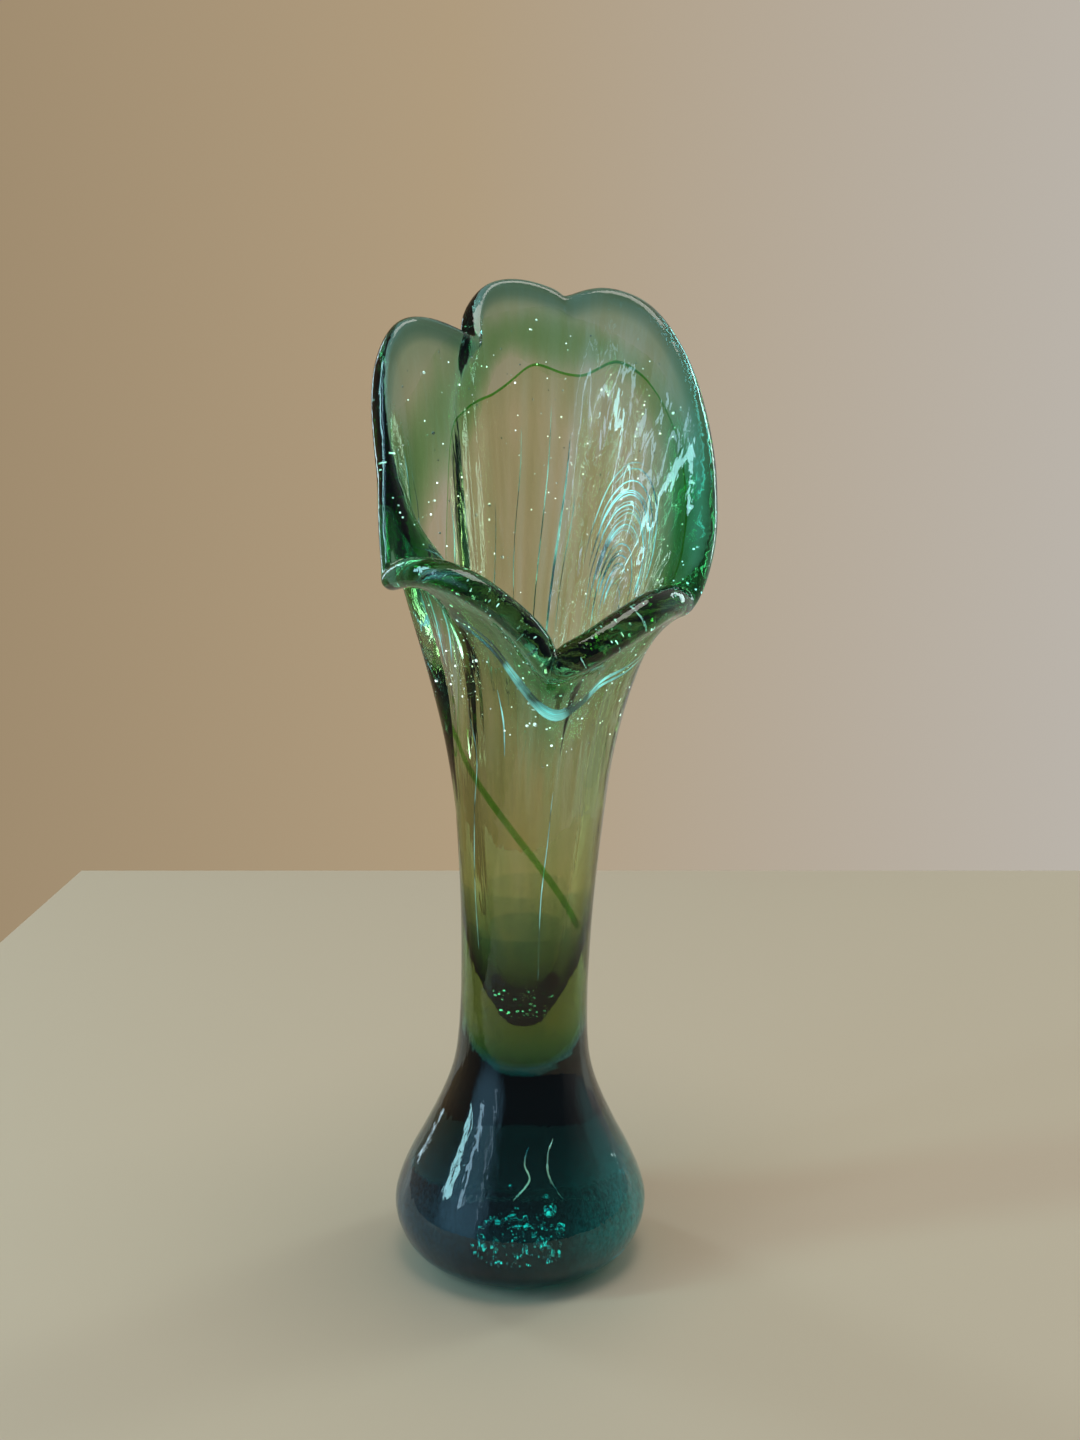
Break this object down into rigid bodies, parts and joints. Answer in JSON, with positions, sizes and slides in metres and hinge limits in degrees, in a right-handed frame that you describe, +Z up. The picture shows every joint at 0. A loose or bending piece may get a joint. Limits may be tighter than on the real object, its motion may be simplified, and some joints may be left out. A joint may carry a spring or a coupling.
{
  "type": "glass vase",
  "caption": "Tall hand blown cased-glass vase with a heavy round foot, a slim hollow stem and a slanted mouth of pulled, rounded petals; stands on a ground flat.",
  "frame": {"origin": "centre of the ground flat that the vase stands on", "axes": "+Z up the stem; the low, rolled side of the mouth faces -Y and the tall side +Y; +X to the right seen from the low side"},
  "size_m": [0.1025, 0.0886, 0.2998],
  "materials": {
    "clear_glass": "fire polished",
    "gather_glass": "fire polished",
    "green_glass": "cased inside the clear glass",
    "cane_glass": "cased inside the clear glass",
    "core_glass": "cased inside the clear glass",
    "punty_glass": "ground and polished flat underneath"
  },
  "bodies": {
    "root": {"clear_casing": "clear_glass", "inner_gather": "gather_glass", "green_overlay": "green_glass", "green_cane": "cane_glass", "foot_core": "core_glass", "punty_glass": "punty_glass"}
  },
  "joints": []
}
